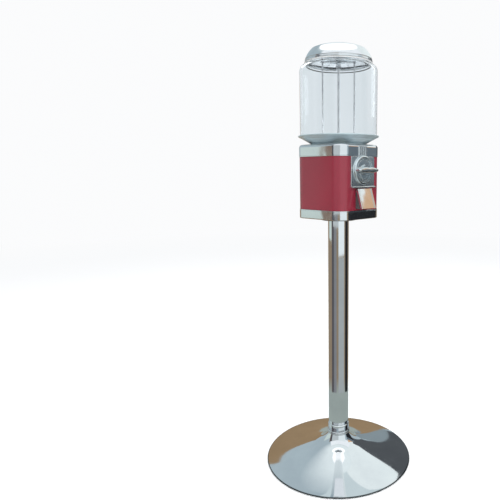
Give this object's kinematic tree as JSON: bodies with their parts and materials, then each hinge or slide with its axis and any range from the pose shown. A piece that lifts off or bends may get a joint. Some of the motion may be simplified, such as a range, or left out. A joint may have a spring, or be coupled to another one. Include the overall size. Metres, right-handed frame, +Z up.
{
  "type": "gumball vending machine on a post",
  "caption": "Coin-operated gumball machine: chrome trumpet foot and post, square red cabinet with turn handle and flap, clear globe under a domed lid.",
  "frame": {"origin": "on the floor, on the post's axis, which is also the middle of the foot", "axes": "+Z up along the post, -Y out of the front with the coin handle and the flap, +X to the machine's left-hand side as seen from behind, the viewer's right from the front"},
  "size_m": [0.4094, 0.4094, 1.131],
  "materials": {
    "chrome": "mirror polish, light casting ripple",
    "red_enamel": "gloss crimson enamel",
    "satin_aluminium": "dull spun satin",
    "clear_plastic": "clear moulded plastic, gloss",
    "zinc": "satin die casting",
    "steel": "zinc-plated, satin",
    "bright_steel": "turned bright",
    "brass": "turned, plain",
    "white_plastic": "moulded, semi-matte",
    "grey_plastic": "moulded, matte",
    "bristle": "nylon bristle",
    "gasket": "soft white ring, matte",
    "cast_iron": "sand cast, black",
    "rubber": "matte black"
  },
  "bodies": {
    "cabinet": {"base_collar": "chrome", "base_shell": "chrome", "base_weight": "cast_iron", "body_wrap": "red_enamel", "bottom_casting": "chrome", "brush_guard": "steel", "cabinet_flange": "cast_iron", "cash_box": "grey_plastic", "centre_rod": "steel", "centre_rod_nut": "steel", "chute": "grey_plastic", "chute_mouth": "grey_plastic", "corner_nuts": "steel", "corner_studs": "steel", "drum_screws": "steel", "flange_bolts": "steel", "flap_pin": "steel", "foot_ring": "rubber", "globe": "clear_plastic", "globe_gasket": "gasket", "hopper_dish": "satin_aluminium", "hopper_screws": "steel", "hopper_well": "white_plastic", "lid_gasket": "gasket", "lock_socket": "bright_steel", "lower_bridge": "steel", "mech_drum": "zinc", "mech_gasket": "gasket", "mech_mount_screws": "steel", "mech_plate": "zinc", "pawl_pin": "steel", "post_coupling": "chrome", "post_tube": "chrome", "side_rod_nuts": "steel", "side_rods": "steel", "tie_rod": "steel", "tie_rod_nuts": "steel", "tie_rod_washers": "steel", "top_casting": "chrome", "upper_bridge": "steel", "wheel_brush": "bristle", "wheel_bush": "brass", "wheel_cap_nut": "steel"},
    "coin_rotor": {"handle": "zinc", "mech_shaft": "steel", "coin_carrier": "zinc", "ratchet_wheel": "steel", "shaft_spacer": "brass", "drive_pinion": "brass", "shaft_nut": "steel"},
    "wheel": {"dispensing_wheel": "white_plastic", "face_gear": "white_plastic"},
    "flap": {"chute_flap": "chrome"},
    "pawl": {"ratchet_pawl": "steel"},
    "lid": {"lid": "chrome", "lock_housing": "chrome", "lock_nut": "steel"},
    "lock": {"lock_bolt": "chrome"}
  },
  "joints": [
    {"name": "handle_turn", "type": "hinge", "parent": "cabinet", "child": "coin_rotor", "pos_m": [0, 0, 0.814], "axis": [0, 1, 0], "continuous": true},
    {"name": "wheel_turn", "type": "hinge", "parent": "cabinet", "child": "wheel", "pos_m": [0, 0, 0.844], "axis": [0, 0, 1], "continuous": true},
    {"name": "flap_swing", "type": "hinge", "parent": "cabinet", "child": "flap", "pos_m": [0, -0.0885, 0.7645], "axis": [-1, 0, 0], "range_deg": [0, 70]},
    {"name": "pawl_lift", "type": "hinge", "parent": "cabinet", "child": "pawl", "pos_m": [-0.024, -0.0757, 0.82], "axis": [0, -1, 0], "range_deg": [0, 10]},
    {"name": "lid_lift", "type": "slide", "parent": "cabinet", "child": "lid", "axis": [0, 0, 1], "range_m": [0, 0.12]},
    {"name": "lock_turn", "type": "hinge", "parent": "lid", "child": "lock", "pos_m": [0, 0, 1.12], "axis": [0, 0, 1], "continuous": true}
  ],
  "couplings": [
    {"joint": "wheel_turn", "follows": "handle_turn", "ratio": 0.2}
  ]
}
